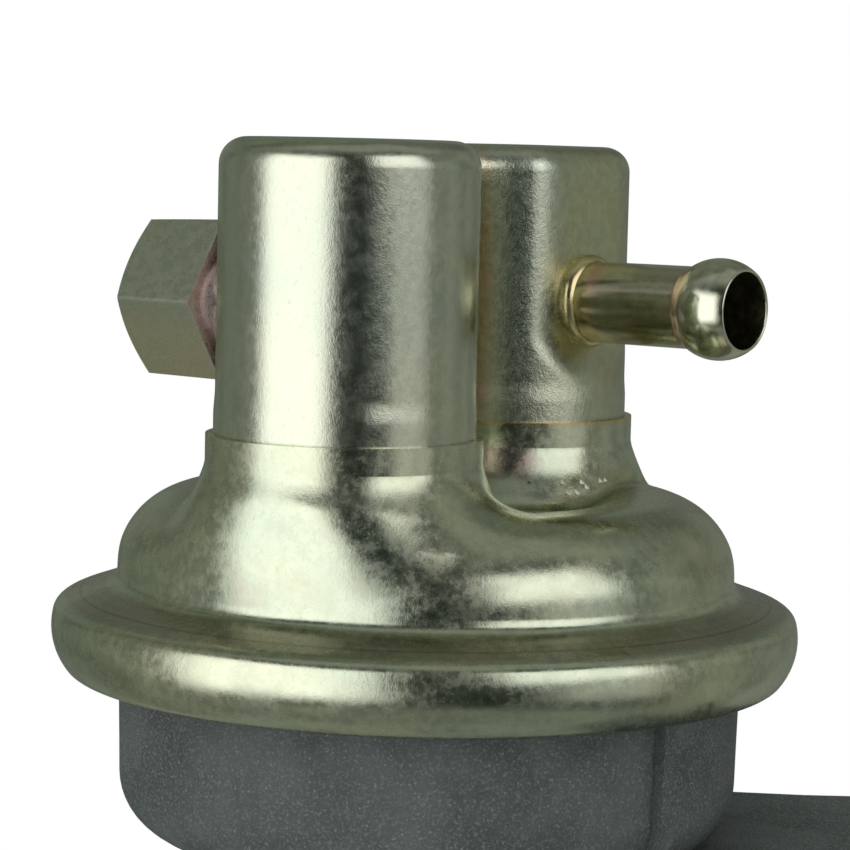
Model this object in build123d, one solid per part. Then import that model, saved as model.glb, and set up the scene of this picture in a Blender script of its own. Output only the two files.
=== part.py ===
from build123d import *
import os
from math import acos, atan2, cos, pi, radians, sin, sqrt, tan

os.makedirs("parts", exist_ok=True)

# Mechanical fuel pump, in millimetres
# Everything is drawn about the diaphragm axis, with z = 0 at the widest circle of the rolled rim
# and the rocker arm along +X. place() then moves the origin to the middle of the mounting face.

# How far cutting and joining forms run past the faces that they meet
PAST = 1.0

# Sheet cover: its dome holds the two cups side by side, and the rim reaches out from the dome
SHEET = 1.0
RIM_REACH = 7.3
RIM_TOP_Z = 2.75
RIM_CORNER_R = 1.9
RIM_BULGE_R = 7.5
RIM_EDGE_R = 1.6
RIM_BOTTOM_Z = -5.2
LIP_REACH = 5.2
DOME_TOP_Z = 15.9
SHOULDER_R = 9.4
FOOT_Z = 5.1
FOOT_BLEND_R = 1.3

# Collars that hold the cups
COLLAR_APART = 7.96
CUP_LINE_DEG = 61.2
COLLAR_WALL = 0.8
COLLAR_TO_WALL = 1.32
COLLAR_TOP_Z = 23.5
COLLAR_BEND_Z = 20.7
COLLAR_CREASE_Z = 17.4
COLLAR_CREASE_OUT = 1.1
FLARE_FOOT_OUT = 3.3
FLARE_BLEND_R = 1.7
DOME_BELOW = 1.5
UNDER_OVERLAP = 0.1

# Cups
CUP_R = 14.25
CUP_TOP_Z = 55.7
CUP_CORNER_R = 3.0
CUP_WALL = 1.0
CUP_FOOT_PROUD = 0.15
CUP_FOOT_TOP_Z = 25.6
CUP_STEP = 2.8
CUP_BOTTOM_Z = 17.8
BRAZE_GAP = 0.02
FLAT_STEPS = ((0, 0), (0.25, 0.16), (0.5, 0.5), (0.75, 0.84), (1, 1))

# Pressed flat on the inlet cup
FLAT_DEPTH = 2.45
FLAT_HALF_DEG = 46.5
FLAT_BOTTOM_Z = 31.5

# Ports
PORT_Z = 37.45
INLET_DEG = -39.5
OUTLET_DEG = 138.5
TUBE_R = 4.7625
TUBE_WALL = 0.9
TUBE_INSIDE = 1.8
TUBE_REACH = 22.2
BEAD_BACK = 3.5
BEAD_R = 5.86
BEAD_BLEND_R = 1.0
MOUTH_CHAMFER = 0.35
TUBE_RING_R = 5.55
TUBE_RING_RIM = 0.45
TUBE_RING_H = 1.4
HEX_FLATS = 17.4625
HEX_OFF_CUP = 0.3
HEX_LENGTH = 12.4
HEX_CHAMFER = 0.9
HEX_FACE_IN = 0.2
NECK_R = 7.0
NECK_INSIDE = 2.85
NECK_RING_W = 0.9
NECK_RING_H = 0.9
PORT_THREAD_R = 5.75
PORT_THREAD_L = 7.4
PORT_BORE_R = 3.2
SEAT_WELL_R = 5.2
SEAT_WELL_L = 2.4
SEAT_CONE_R = 4.7
SEAT_TIP_R = 3.6

# Diaphragm, its plates and the pull rod
DIAPHRAGM_T = 1.5
DIAPHRAGM_RISE = 5.6
CLAMP_INNER_GAP = 0.2
CLAMP_OUTER_GAP = 0.8
PLATE_T = 1.2
PLATE_R = 24.0
PLATE_LIP_H = 1.4
PLATE_EDGE_FREE = 0.5
ROLL_SLOPE = 0.4
ROD_R = 3.0
ROD_HEAD_R = 4.6
ROD_HEAD_H = 1.6
ROD_TENON_R = 2.2
ROD_FIT = 0.05

# Die-cast housing
BELL_IN = 7.7
BELL_DRAFT_DEG = 1.2
BELL_WALL = 3.1
BELL_FLOOR_Z = -20.0
BELL_BASE_Z = -24.0
BELL_CORNER_R = 7.0
CAVITY_CORNER_R = 4.0
PAD_PROUD = 1.3
PAD_HALF_DEG = 44.5
CRIMP_CLEAR = 0.05
CASTING_RIM_T = 4.3
SEAL_R = 8.5
SEAL_H = 4.2
SEAL_LIP_H = 1.9
SEAL_BOSS_R = 11.5
SEAL_BOSS_H = 4.0
RETAINER_T = 0.8
RETAINER_HOLE_R = 4.0
ROD_HOLE_R = 3.4
VENT_R = 1.5
VENT_DEG = 150.0
VENT_Z = -15.0

# Rocker chamber and mounting flange
FLANGE_CLEAR = 10.0
FLANGE_T = 9.0
FLANGE_Z = -46.0
FLANGE_HOLE_SPACING = 70.0
FLANGE_HOLE_R = 5.15
FLANGE_EAR_R = 10.5
FLANGE_MID_W = 42.0
FLANGE_MID_H = 38.0
FLANGE_MID_CORNER = 8.0
CHAMBER_W = 34.0
CHAMBER_WALL = 4.0
CHAMBER_END_X = -15.0
CHAMBER_END_CORNER_R = 10.0
CHAMBER_CEIL_Z = -30.0
CHAMBER_BOTTOM_Z = -64.0
CHAMBER_EDGE_R = 4.0
SADDLE_W = 52.0
SADDLE_BOTTOM_Z = -33.0
SADDLE_EDGE_R = 1.0
GUSSET_T = 4.0
GUSSET_START_X = 16.0
GUSSET_REACH = 14.0

# Rocker arm, link and pin
PIVOT_X = 24.0
PIVOT_Z = -46.0
PIN_R = 4.0
PIN_FIT = 0.05
PIN_LENGTH = 30.0
PRESS_GAP = 0.02
PLUG_R = 5.5
PLUG_T = 1.4
PLUG_GAP = 0.4
HUB_R = 8.0
HUB_W = 10.0
ARM_REACH = 42.0
ARM_W = 8.0
ARM_ROOT_R = 6.2
ARM_TIP_R = 4.6
ARM_DROP = 4.0
TIP_PAD_W = 13.0
TIP_PAD_L = 17.0
TIP_PAD_H = 6.0
TIP_PAD_BELOW = 1.5
TIP_PAD_CROWN_R = 24.0
HEEL_X = 12.0
HEEL_R = 3.2
LINK_PLATE = 2.2
LINK_GAP = 0.2
LINK_EYE_R = 6.8
LINK_TIP_R = 2.6
LINK_NECK_X = 9.0
LINK_NECK_RISE = 0.6
LINK_WEB_W = 4.0
LINK_WEB_TOP = 3.4
LINK_WEB_H = 4.4
WASHER_R = 7.4
WASHER_T = 1.2
WASHER_GAP = 0.15
BOSS_R = 8.2
CONTACT_GAP = 0.1
FOOT_DISC_R = 7.8
FOOT_DISC_T = 2.2
FOOT_RIVET_R = 3.9
FOOT_RIVET_H = 1.2

# Springs: coil radius, wire radius, turns
BIG_COIL_R = 13.6
BIG_WIRE_R = 1.2
BIG_TURNS = 4.5
RETURN_COIL_R = 5.0
RETURN_WIRE_R = 0.8
RETURN_TURNS = 3.5
RETURN_SEAT_X = 42.0
RETURN_SEAT_Z = -39.6
RETURN_POCKET_Z = -27.6
RETURN_CLEAR = 0.8
RETURN_PIP_H = 2.0
RETURN_SEAT_EDGE = 0.4
RETURN_PIP_CLEAR = 0.6
VALVE_COIL_R = 3.4
VALVE_WIRE_R = 0.35
VALVE_TURNS = 3.0
COIL_TOUCH = 0.02

# Valves, each pressed into the foot of its cup
SEAT_Z = 20.0
SEAT_T = 1.4
SEAT_RIM_H = 4.2
SEAT_RIM_T = 1.0
SEAT_HOLE_R = 2.1
SEAT_HOLES = 6
SEAT_RING_R = 6.2
DISC_R = 9.6
DISC_T = 1.2
STEM_R = 1.5
STEM_FIT = 0.08
STEM_RIVET_R = 2.5
STEM_HEAD_R = 4.6
STEM_HEAD_T = 0.9
VALVE_SPRING_L = 5.0

# Values that follow from those above
cup_foot_r = CUP_R + CUP_FOOT_PROUD
collar_r = cup_foot_r + COLLAR_WALL
cup_bore_r = cup_foot_r - CUP_WALL
cup_off_axis = collar_r + COLLAR_APART / 2
dome_r = cup_off_axis + collar_r + COLLAR_TO_WALL
rim_r = dome_r + RIM_REACH
lip_r = rim_r - LIP_REACH
bell_r = rim_r - BELL_IN
bell_cavity_r = bell_r - BELL_WALL
flange_x = rim_r + FLANGE_CLEAR
flat_dist = CUP_R - FLAT_DEPTH
tube_inner_end = flat_dist - TUBE_INSIDE
tube_mouth = flat_dist + TUBE_REACH
bead_at = tube_mouth - BEAD_BACK
hex_inner = CUP_R + HEX_OFF_CUP
hex_outer = hex_inner + HEX_LENGTH
neck_inner_end = CUP_R - NECK_INSIDE
bulge_x = rim_r - RIM_BULGE_R
rim_crease_r = bulge_x + sqrt(RIM_BULGE_R**2 - RIM_TOP_Z**2)
flange_slope = atan2(FOOT_Z - RIM_TOP_Z, rim_crease_r - dome_r)
sheet_drop = SHEET / cos(flange_slope)
clamp_drop = DIAPHRAGM_T / cos(flange_slope)
casting_r = rim_r - SHEET - CRIMP_CLEAR
clamp_r = casting_r - CLAMP_OUTER_GAP
clamp_inner_r = dome_r - SHEET - CLAMP_INNER_GAP
cup_x = cup_off_axis * cos(radians(CUP_LINE_DEG))
cup_y = cup_off_axis * sin(radians(CUP_LINE_DEG))
inlet_axis = (cup_x, cup_y)
outlet_axis = (-cup_x, -cup_y)
tube_bore_r = TUBE_R - TUBE_WALL
chamber_half = CHAMBER_W / 2 - CHAMBER_WALL
chamber_floor_z = CHAMBER_BOTTOM_Z + CHAMBER_WALL
window_h = CHAMBER_CEIL_Z - chamber_floor_z
arm_tip_x = flange_x + ARM_REACH
link_inner_y = HUB_W / 2 + LINK_GAP
link_outer_y = link_inner_y + LINK_PLATE
washer_y = link_outer_y + WASHER_GAP
boss_y = washer_y + WASHER_T + WASHER_GAP
plug_y = PIN_LENGTH / 2 + PLUG_GAP
foot_top_z = PIVOT_Z - LINK_TIP_R - CONTACT_GAP
seal_bottom_z = BELL_FLOOR_Z + SEAL_BOSS_H - RETAINER_T - SEAL_H
seal_top_z = seal_bottom_z + SEAL_H


def slope_z(r):
    """Height of the sheet's outer face on the sloping flange at radius r."""
    return FOOT_Z - (r - dome_r) * tan(flange_slope)


def clamp_top_z(r):
    return slope_z(r) - sheet_drop


def casting_seat_z(r):
    return clamp_top_z(r) - clamp_drop


diaphragm_z = casting_seat_z(dome_r) + DIAPHRAGM_RISE
plate_top_z = diaphragm_z + DIAPHRAGM_T + PLATE_T
plate_low_z = diaphragm_z - PLATE_T


def at(axis, solid):
    return Pos(axis[0], axis[1], 0) * solid


def spin(*points):
    """A solid turned about Z from a closed outline of (radius, height) points."""
    return revolve(Plane.XZ * make_face(Polyline(*points, close=True)), Axis.Z)


def column(radius, low, high, x=0, y=0):
    return extrude(Pos(x, y, low) * Circle(radius), high - low)


def tube(outer, inner, low, high, x=0, y=0):
    return column(outer, low, high, x, y) - column(inner, low - PAST, high + PAST, x, y)


def cross_column(radius, start, end, x, z):
    """A cylinder along Y between two values of y."""
    plane = Plane(origin=(x, start, z), x_dir=(1, 0, 0), z_dir=(0, 1, 0))
    return extrude(plane * Circle(radius), end - start)


def side_plate(sketch, start, end):
    """A plate drawn in X and Z, from one value of y to another."""
    plane = Plane(origin=(0, end, 0), x_dir=(1, 0, 0), z_dir=(0, -1, 0))
    return extrude(plane * sketch, end - start)


def hull_of(*circles):
    """Convex outline round circles given as (x, z, radius)."""
    edges = []
    for x, z, radius in circles:
        edges = edges + (Pos(x, z) * Circle(radius)).edges()
    return make_hull(edges)


def port_plane(axis, angle):
    """A plane on the cup's axis at port height, whose normal points out along the port."""
    out = (cos(radians(angle)), sin(radians(angle)), 0)
    return Plane(origin=(axis[0], axis[1], PORT_Z), x_dir=(-out[1], out[0], 0), z_dir=out)


def along(plane, radius, start, end):
    return extrude(plane.offset(start) * Circle(radius), end - start)


def turned_along(plane, outline):
    """Turn an outline of (distance along the port, radius) about the port's own axis."""
    profile = Plane(origin=plane.origin, x_dir=plane.z_dir, z_dir=plane.y_dir)
    axis = Axis(plane.origin, plane.z_dir)
    return revolve(profile * outline, axis)


def coil(radius, wire, turns, low, high, x=0, y=0):
    """A helical spring whose end turns just touch the heights given."""
    start = low + wire + COIL_TOUCH
    rise = high - low - 2 * (wire + COIL_TOUCH)
    path = Helix(pitch=rise / turns, height=rise, radius=radius)
    section = Plane(path @ 0, z_dir=path % 0) * Circle(wire)
    return Pos(x, y, start) * sweep(section, path=path, is_frenet=True)


# Cover: dome, flared collars and rolled rim, one sheet

def dome_form(inset):
    top = DOME_TOP_Z - inset
    wall = dome_r - inset
    shoulder = SHOULDER_R - inset
    low = FOOT_Z - DOME_BELOW - inset
    outline = Polyline((0, top), (0, low), (wall, low), (wall, top - shoulder))
    outline += CenterArc((wall - shoulder, top - shoulder), shoulder, 0, 90)
    outline += Line((wall - shoulder, top), (0, top))
    return revolve(Plane.XZ * make_face(outline), Axis.Z)


def collar_form(side, inset, wall):
    """One collar and the flare below it, whose outer side stays flush with the dome's wall."""
    r = collar_r - wall
    top = COLLAR_TOP_Z + 2 * inset
    low = FOOT_Z - DOME_BELOW - inset
    crease = collar_r + COLLAR_CREASE_OUT - inset
    foot = collar_r + FLARE_FOOT_OUT - inset
    sleeve = spin((0, top), (r, top), (r, COLLAR_BEND_Z), (crease, COLLAR_CREASE_Z), (0, COLLAR_CREASE_Z))
    upper = Pos(cup_off_axis, 0, 0) * sleeve
    ends = [
        Pos(cup_off_axis, 0, COLLAR_CREASE_Z) * Circle(crease),
        Pos(dome_r - inset - foot, 0, low) * Circle(foot),
    ]
    turn = CUP_LINE_DEG if side > 0 else CUP_LINE_DEG + 180
    return Rot(0, 0, turn) * (upper + loft(ends, ruled=True))


def flare_edges(form):
    """The corners between each flare and the dome, without the seams that run up the flares."""
    found = []
    for edge in form.edges():
        box = edge.bounding_box()
        at_top = abs(box.min.Z - DOME_TOP_Z) < 0.01 and abs(box.max.Z - DOME_TOP_Z) < 0.01
        if at_top and edge.geom_type != GeomType.CIRCLE:
            found.append(edge)
        elif edge.geom_type not in (GeomType.LINE, GeomType.CIRCLE) and abs((edge % 0.5).Z) < 0.9:
            found.append(edge)
    return found


def cover_form(inset, wall):
    form = dome_form(inset)
    for side in (-1, 1):
        form = form + collar_form(side, inset, wall)
    return form


def rim_line(inset):
    """From the dome's foot over the sloping flange and down the bulged roll, inset from the outer face."""
    wall = dome_r - inset
    reach = RIM_BULGE_R - inset
    low = RIM_BOTTOM_Z + inset
    slope_off = slope_z(bulge_x) * cos(flange_slope) - inset
    turn = pi / 2 - flange_slope - acos(slope_off / reach)
    foot = (wall, slope_z(wall) - inset / cos(flange_slope))
    crease = (bulge_x + reach * cos(turn), reach * sin(turn))
    edge = (bulge_x + sqrt(reach**2 - low**2), low)
    line = Wire([
        Line((wall, FOOT_Z + FOOT_BLEND_R + PAST), foot),
        Line(foot, crease),
        ThreePointArc(crease, (bulge_x + reach, 0), edge),
        Line(edge, (lip_r, low)),
    ])
    bends = ((foot, FOOT_BLEND_R + inset), (crease, RIM_CORNER_R - inset), (edge, RIM_EDGE_R - inset))
    for corner, radius in bends:
        line = line.fillet_2d(radius, line.vertices().sort_by_distance(corner)[:1])
    return line


def rim_section():
    """The flange and the roll that grips the casting, as one bent strip of sheet."""
    outer, inner = rim_line(0), rim_line(SHEET)
    top = FOOT_Z + FOOT_BLEND_R + PAST
    top_end = Line((dome_r - SHEET, top), (dome_r, top))
    lip_end = Line((lip_r, RIM_BOTTOM_Z), (lip_r, RIM_BOTTOM_Z + SHEET))
    return make_face(outer.edges() + inner.edges() + [top_end, lip_end])


def cover():
    outer = cover_form(0, 0)
    outer = outer.fillet(FLARE_BLEND_R, flare_edges(outer))
    inner = cover_form(SHEET, COLLAR_WALL - BRAZE_GAP)
    shell = outer - inner
    rim = revolve(Plane.XZ * rim_section(), Axis.Z)
    rim = rim - column(dome_r - SHEET, 0, DOME_TOP_Z)
    below = dome_r + UNDER_OVERLAP
    under = spin((0, clamp_top_z(0)), (below, clamp_top_z(below)), (below, 0), (0, 0))
    return (shell - under) + rim


# Cups

def cup_section(inset, depth):
    """Cup outline with a flat pressed in by depth and blended tangentially into the round wall."""
    r = CUP_R - inset
    half = radians(FLAT_HALF_DEG)
    ends = (r * cos(half), r * sin(half))
    if depth == 0:
        inner = radians(FLAT_HALF_DEG / 4)
        flat_x, flat_y = r * cos(inner), r * sin(inner)
        front = ThreePointArc((flat_x, -flat_y), (r, 0), (flat_x, flat_y))
        mid = (half + inner) / 2
        bend = (r * cos(mid), r * sin(mid))
    else:
        blend = CUP_R - depth / (1 - cos(half))
        centre = (CUP_R - blend) * cos(half), (CUP_R - blend) * sin(half)
        blend_r = blend - inset
        flat_x, flat_y = centre[0] + blend_r, centre[1]
        front = Line((flat_x, -flat_y), (flat_x, flat_y))
        bend = (centre[0] + blend_r * cos(half / 2), centre[1] + blend_r * sin(half / 2))
    upper = ThreePointArc((flat_x, flat_y), bend, ends)
    back = ThreePointArc(ends, (-r, 0), (ends[0], -ends[1]))
    lower = ThreePointArc((ends[0], -ends[1]), (bend[0], -bend[1]), (flat_x, -flat_y))
    return make_face([front, upper, back, lower])


def cup_foot(inset):
    """The cup's lower end, a little larger where it seats in the collar."""
    top = CUP_FOOT_TOP_Z + CUP_STEP
    low = CUP_BOTTOM_Z - 2 * inset
    foot, wall = cup_foot_r - inset, CUP_R - inset
    return spin((0, low), (foot, low), (foot, CUP_FOOT_TOP_Z), (wall, top), (0, top))


def round_top(solid, top, radius):
    rim = [edge for edge in solid.edges() if edge.bounding_box().min.Z > top - 0.001]
    return solid.fillet(radius, rim)


def cup_form(inset, depth):
    top = CUP_TOP_Z - inset
    join = CUP_FOOT_TOP_Z + CUP_STEP
    if depth == 0:
        wall = column(CUP_R - inset, join, top)
    else:
        rise = FLAT_BOTTOM_Z - join
        sections = []
        for up, deep in FLAT_STEPS:
            sections.append(Pos(0, 0, join + rise * up) * cup_section(inset, depth * deep))
        flat = extrude(Pos(0, 0, FLAT_BOTTOM_Z) * cup_section(inset, depth), top - FLAT_BOTTOM_Z)
        wall = loft(sections) + flat
    return round_top(cup_foot(inset) + wall, top, CUP_CORNER_R - inset)


def cup_shell(axis, depth, angle):
    shell = cup_form(0, depth) - cup_form(CUP_WALL, depth)
    return at(axis, Rot(0, 0, angle) * shell)


def outlet_cup():
    hole = along(port_plane(outlet_axis, OUTLET_DEG), NECK_R + BRAZE_GAP, 0, CUP_R + PAST)
    return cup_shell(outlet_axis, 0, OUTLET_DEG) - hole


def inlet_cup():
    hole = along(port_plane(inlet_axis, INLET_DEG), TUBE_R + BRAZE_GAP, 0, CUP_R + PAST)
    return cup_shell(inlet_axis, CUP_R - flat_dist, INLET_DEG) - hole


# Ports

def inlet_tube():
    """Hose tube with a round bead, cut off flat at its mouth."""
    bead_start = bead_at - sqrt(BEAD_R**2 - TUBE_R**2)
    mouth_r = sqrt(BEAD_R**2 - (tube_mouth - bead_at) ** 2)
    bore_r = tube_bore_r
    outline = Polyline((bead_start, TUBE_R), (tube_inner_end, TUBE_R), (tube_inner_end, bore_r))
    outline += Polyline(
        (tube_inner_end, bore_r),
        (tube_mouth - MOUTH_CHAMFER, bore_r),
        (tube_mouth, bore_r + MOUTH_CHAMFER),
        (tube_mouth, mouth_r),
    )
    outline += ThreePointArc((tube_mouth, mouth_r), (bead_at, BEAD_R), (bead_start, TUBE_R))
    face = make_face(outline)
    neck = [v for v in face.vertices() if abs(v.X - bead_start) < 0.01 and abs(v.Y - TUBE_R) < 0.01]
    return turned_along(port_plane(inlet_axis, INLET_DEG), fillet(neck, BEAD_BLEND_R))


def inlet_braze_ring():
    plane = port_plane(inlet_axis, INLET_DEG)
    inner = TUBE_R + BRAZE_GAP
    rim_end = flat_dist + TUBE_RING_RIM
    tip = flat_dist + TUBE_RING_H
    outline = Polyline((rim_end, TUBE_RING_R), (flat_dist, TUBE_RING_R), (flat_dist, inner), (tip, inner))
    outline += RadiusArc((tip, inner), (rim_end, TUBE_RING_R), -TUBE_RING_H)
    return turned_along(plane, make_face(outline))


def outlet_fitting():
    plane = port_plane(outlet_axis, OUTLET_DEG)
    corner = HEX_FLATS / sqrt(3)
    hexagon = extrude(plane.offset(hex_inner) * RegularPolygon(corner, 6), HEX_LENGTH)
    face_r = HEX_FLATS / 2 - HEX_FACE_IN
    slope = HEX_CHAMFER / (corner - face_r)
    reach = corner + PAST
    cone = Polyline(
        (hex_inner - PAST, 0),
        (hex_inner - PAST, reach),
        (hex_outer - slope * (reach - face_r), reach),
        (hex_outer, face_r),
        (hex_outer, 0),
        close=True,
    )
    body = hexagon & turned_along(plane, make_face(cone))
    body = body + along(plane, NECK_R, neck_inner_end, hex_inner + PAST)
    thread_end = hex_outer - PORT_THREAD_L
    well_end = thread_end - SEAT_WELL_L
    body = body - along(plane, PORT_THREAD_R, thread_end, hex_outer + PAST)
    body = body - along(plane, SEAT_WELL_R, well_end, hex_outer)
    seat = Polyline(
        (well_end, 0),
        (well_end, SEAT_CONE_R),
        (thread_end, SEAT_TIP_R),
        (thread_end, 0),
        close=True,
    )
    body = body + turned_along(plane, make_face(seat))
    return body - along(plane, PORT_BORE_R, neck_inner_end - PAST, hex_outer + PAST)


def outlet_braze_ring():
    """Braze in the corner between the round cup and the neck, so it follows both."""
    plane = port_plane(outlet_axis, OUTLET_DEG)
    ring = along(plane, NECK_R + NECK_RING_W, CUP_R / 2, hex_inner - BRAZE_GAP)
    ring = ring - along(plane, NECK_R + BRAZE_GAP, 0, hex_outer)
    skin = tube(CUP_R + NECK_RING_H, CUP_R, PORT_Z - CUP_R, PORT_Z + CUP_R, *outlet_axis)
    return ring & skin


# Valves: opens is -1 for a disc that moves down off its seat, 1 for one that moves up

def valve_seat(axis, opens):
    rim_r = cup_bore_r - PRESS_GAP
    low = SEAT_Z
    seat = column(rim_r, low, low + SEAT_T)
    rim_low = low if opens < 0 else low + SEAT_T - SEAT_RIM_H
    seat = seat + tube(rim_r, rim_r - SEAT_RIM_T, rim_low, rim_low + SEAT_RIM_H)
    holes = PolarLocations(SEAT_RING_R, SEAT_HOLES)
    seat = seat - [place * column(SEAT_HOLE_R, low - PAST, low + SEAT_T + PAST) for place in holes]
    return at(axis, seat - column(STEM_R + PRESS_GAP, low - PAST, low + SEAT_T + PAST))


def valve_faces(opens):
    """Heights of the disc's seat face, its far face and the spring's far end."""
    face = SEAT_Z if opens < 0 else SEAT_Z + SEAT_T
    far = face + opens * DISC_T
    return face, far, far + opens * VALVE_SPRING_L


def valve_disc(axis, opens):
    face, far, end = valve_faces(opens)
    return tube(DISC_R, STEM_R + STEM_FIT, min(face, far), max(face, far), *axis)


def valve_spring(axis, opens):
    face, far, end = valve_faces(opens)
    return coil(VALVE_COIL_R, VALVE_WIRE_R, VALVE_TURNS, min(far, end), max(far, end), *axis)


def valve_stem(axis, opens):
    face, far, end = valve_faces(opens)
    back = SEAT_Z + SEAT_T if opens < 0 else SEAT_Z
    head = end + opens * STEM_HEAD_T
    rivet = back - opens * STEM_HEAD_T
    stem = column(STEM_R, min(rivet, head), max(rivet, head))
    stem = stem + column(STEM_HEAD_R, min(end, head), max(end, head))
    return at(axis, stem + column(STEM_RIVET_R, min(back, rivet), max(back, rivet)))


# Diaphragm and pull rod

def diaphragm():
    low, top = diaphragm_z, diaphragm_z + DIAPHRAGM_T
    inner, outer = clamp_inner_r, clamp_r
    hole = ROD_R + PRESS_GAP
    flat = PLATE_R + PLATE_EDGE_FREE
    upper = Spline((inner, clamp_top_z(inner)), (flat, top), tangents=[(-1, ROLL_SLOPE), (-1, 0)])
    lower = Spline((flat, low), (inner, casting_seat_z(inner)), tangents=[(1, 0), (1, -ROLL_SLOPE)])
    outline = Polyline((flat, top), (hole, top), (hole, low), (flat, low))
    rim = Polyline(
        (inner, casting_seat_z(inner)), (outer, casting_seat_z(outer)),
        (outer, clamp_top_z(outer)), (inner, clamp_top_z(inner)),
    )
    return revolve(Plane.XZ * make_face([outline, lower, rim, upper]), Axis.Z)


def dished_plate(low, opens):
    """A pressed plate whose edge turns away from the diaphragm."""
    hole = ROD_R + PRESS_GAP
    top = low + PLATE_T
    edge = PLATE_R - PLATE_LIP_H
    if opens > 0:
        lip = ((PLATE_R, low + PLATE_LIP_H), (PLATE_R, top + PLATE_LIP_H), (edge, top))
        return spin((hole, low), (edge, low), *lip, (hole, top))
    lip = ((edge, low), (PLATE_R, low - PLATE_LIP_H), (PLATE_R, top - PLATE_LIP_H))
    return spin((hole, low), *lip, (edge, top), (hole, top))


def diaphragm_plate_upper():
    return dished_plate(diaphragm_z + DIAPHRAGM_T, 1)


def diaphragm_plate_lower():
    return dished_plate(plate_low_z, -1)


def pull_rod():
    rod = column(ROD_R, foot_top_z, plate_top_z)
    head = column(ROD_HEAD_R, plate_top_z, plate_top_z + ROD_HEAD_H)
    rivet_z = foot_top_z - FOOT_DISC_T
    tenon = column(ROD_TENON_R, rivet_z, foot_top_z)
    return rod + head + tenon + column(FOOT_RIVET_R, rivet_z - FOOT_RIVET_H, rivet_z)


def rod_foot():
    low = foot_top_z - FOOT_DISC_T
    return tube(FOOT_DISC_R, ROD_TENON_R + PRESS_GAP, low, foot_top_z)


def diaphragm_spring():
    return coil(BIG_COIL_R, BIG_WIRE_R, BIG_TURNS, BELL_FLOOR_Z, plate_low_z)


def rod_seal():
    inner = ROD_R + ROD_FIT
    outer = SEAL_R - PRESS_GAP
    lip_z = seal_bottom_z + SEAL_LIP_H
    waist = (SEAL_R + ROD_R) / 2
    return spin(
        (inner, seal_bottom_z), (outer, seal_bottom_z), (outer, seal_top_z),
        (waist, seal_top_z), (waist, lip_z), (inner, lip_z),
    )


def seal_retainer():
    return tube(SEAL_R - PRESS_GAP, RETAINER_HOLE_R, seal_top_z, seal_top_z + RETAINER_T)


# Housing

def bell_form(proud):
    """The bell's outside below its rim, standing proud of the plain wall by the value given."""
    low = casting_seat_z(casting_r) - CASTING_RIM_T
    wall = bell_r + proud
    base_r = wall - (low - BELL_BASE_Z) * tan(radians(BELL_DRAFT_DEG))
    top = low + PAST
    form = spin((0, top), (wall, top), (wall, low), (base_r, BELL_BASE_Z), (0, BELL_BASE_Z))
    base = [e for e in form.edges() if e.bounding_box().max.Z < BELL_BASE_Z + 0.001 and e.length > bell_r]
    return form.fillet(BELL_CORNER_R, base)


def bell_rim():
    """The flat-topped ring under the diaphragm, with the corner that the roll bends round."""
    top = casting_seat_z(clamp_inner_r)
    low = casting_seat_z(casting_r) - CASTING_RIM_T
    bend = RIM_EDGE_R - SHEET
    reach = casting_r - bulge_x
    low_r = bulge_x + sqrt(reach**2 - (low + bend)**2)
    corner = (casting_r, casting_seat_z(casting_r))
    outline = Polyline((0, low), (0, top), (clamp_inner_r, top), corner, (casting_r, 0))
    outline += RadiusArc((casting_r, 0), (low_r, low + bend), reach)
    outline += Polyline((low_r, low + bend), (low_r - bend, low), (0, low))
    return revolve(Plane.XZ * make_face(outline), Axis.Z)


def bell_cavity():
    cavity = column(bell_cavity_r, BELL_FLOOR_Z, FOOT_Z)
    floor = [e for e in cavity.edges() if e.bounding_box().max.Z < BELL_FLOOR_Z + 0.001]
    return cavity.fillet(CAVITY_CORNER_R, floor)


def flank_pad():
    """The sector of the bell on the flange side, which stands a little proud of the rest."""
    half = radians(PAD_HALF_DEG)
    reach = bell_r + PAD_PROUD + PAST
    side = (reach, reach * tan(half))
    sector = make_face(Polyline((0, 0), side, (side[0], -side[1]), close=True))
    wedge = extrude(Pos(0, 0, BELL_BASE_Z) * sector, FOOT_Z - BELL_BASE_Z)
    return bell_form(PAD_PROUD) & wedge


def flange():
    """Mounting flange with an ear at each bolt."""
    plane = Plane(origin=(flange_x, 0, FLANGE_Z), x_dir=(0, 1, 0), z_dir=(1, 0, 0))
    ears = [Pos(side * FLANGE_HOLE_SPACING / 2, 0) * Circle(FLANGE_EAR_R) for side in (-1, 1)]
    corner_x = FLANGE_MID_W / 2 - FLANGE_MID_CORNER
    corner_y = FLANGE_MID_H / 2 - FLANGE_MID_CORNER
    edges = []
    for ear in ears:
        edges = edges + ear.edges()
    for x in (-corner_x, corner_x):
        for y in (-corner_y, corner_y):
            edges = edges + (Pos(x, y) * Circle(FLANGE_MID_CORNER)).edges()
    return extrude(plane * make_hull(edges), -FLANGE_T)


def chamber_plan(half, end_x, corner):
    """The chamber seen from above, running past the mounting face by its own corner."""
    reach = flange_x + corner + PAST
    return Pos((end_x + reach) / 2, 0) * RectangleRounded(reach - end_x, 2 * half, corner)


def chamber():
    plan = chamber_plan(CHAMBER_W / 2, CHAMBER_END_X, CHAMBER_END_CORNER_R)
    body = extrude(Pos(0, 0, CHAMBER_BOTTOM_Z) * plan, BELL_BASE_Z - CHAMBER_BOTTOM_Z + PAST)
    edge = [e for e in body.edges() if e.bounding_box().max.Z < CHAMBER_BOTTOM_Z + 0.001]
    return body.fillet(CHAMBER_EDGE_R, edge)


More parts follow.
